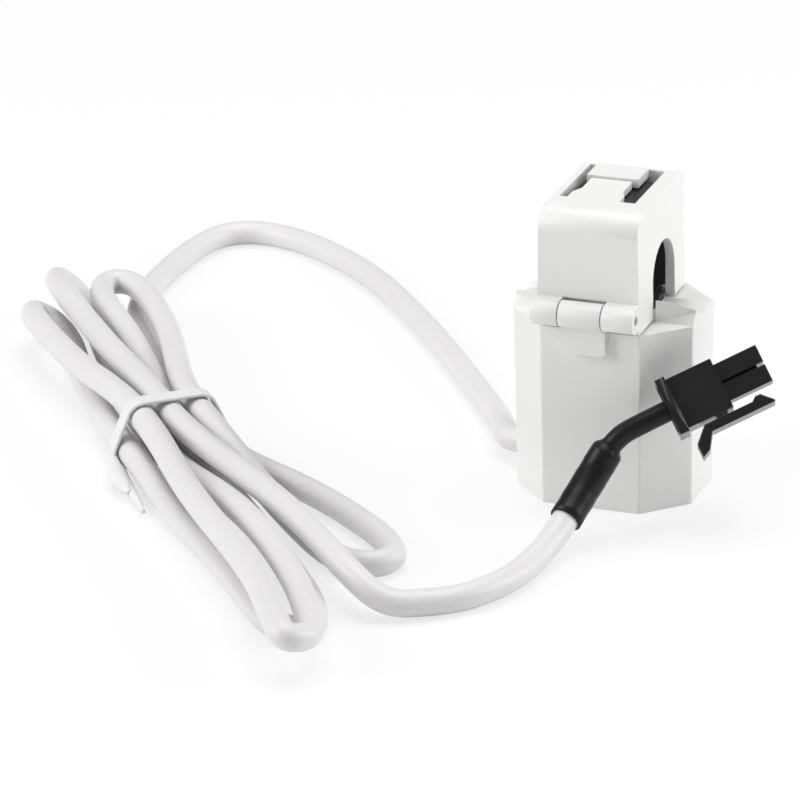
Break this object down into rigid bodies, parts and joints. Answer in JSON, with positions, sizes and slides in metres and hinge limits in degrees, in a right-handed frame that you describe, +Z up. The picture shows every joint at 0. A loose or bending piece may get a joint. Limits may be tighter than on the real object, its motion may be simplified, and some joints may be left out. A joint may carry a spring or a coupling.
{
  "type": "split-core current clamp sensor",
  "caption": "Hinged split-core current clamp of a home energy monitor, with a tied hank of cord and a latching two-way plug.",
  "frame": {"origin": "centre of the housing's base, on the surface it stands on", "axes": "+X along the clamped conductor and the hinge, -Y towards the hinge, +Z up"},
  "size_m": [0.1321, 0.1559, 0.0447],
  "materials": {
    "white_plastic": "moulded, satin",
    "ferrite": "sintered ferrite, dull",
    "black_inner_plastic": "moulded, dull",
    "copper_wire": "enamelled copper wire",
    "board": "fibreglass board with green mask",
    "diode": "moulded",
    "tinned_wire": "tinned",
    "conductor_insulation": "thin wire insulation",
    "steel_pin": "bright",
    "white_cord": "soft satin jacket",
    "white_tie": "soft coated tie",
    "black_sleeve": "heat-shrink, satin",
    "black_plug": "moulded nylon",
    "terminal_metal": "stamped contact"
  },
  "bodies": {
    "housing": {"housing_shell": "white_plastic", "base_cover": "white_plastic", "lower_core": "ferrite", "bobbin": "black_inner_plastic", "secondary_winding": "copper_wire", "core_carrier": "black_inner_plastic", "circuit_board": "board", "clamp_diode_1": "diode", "clamp_diode_2": "diode", "winding_lead_1": "tinned_wire", "winding_lead_2": "tinned_wire", "conductor_1": "conductor_insulation", "conductor_2": "conductor_insulation", "cord_grommet": "white_plastic", "hinge_pin": "steel_pin", "cord_lead": "white_cord", "cord_hank": "white_cord", "cord_tail": "white_cord", "hank_tie": "white_tie", "heat_shrink_sleeve": "black_sleeve", "plug_housing": "black_plug", "plug_wire_1": "conductor_insulation", "plug_wire_2": "conductor_insulation", "plug_terminal_1": "terminal_metal", "plug_terminal_2": "terminal_metal"},
    "jaw": {"jaw_shell": "white_plastic", "upper_core": "ferrite", "core_retainer": "black_inner_plastic"},
    "latch": {"latch_tongue": "white_plastic"},
    "plug_lever": {"plug_latch": "black_plug"}
  },
  "joints": [
    {"name": "jaw_hinge", "type": "hinge", "parent": "housing", "child": "jaw", "pos_m": [0, -0.013, 0.03], "axis": [1, 0, 0], "range_deg": [0, 100]},
    {"name": "latch_release", "type": "hinge", "parent": "jaw", "child": "latch", "pos_m": [0, 0.01175, 0.0361], "axis": [1, 0, 0], "range_deg": [0, 10], "stiffness_Nm_per_rad": 0.02},
    {"name": "plug_lever_squeeze", "type": "hinge", "parent": "housing", "child": "plug_lever", "pos_m": [0.0197, -0.01172, 0.01661], "axis": [-0.2389, 0.8244, -0.5131], "range_deg": [0, 6], "stiffness_Nm_per_rad": 0.02}
  ]
}
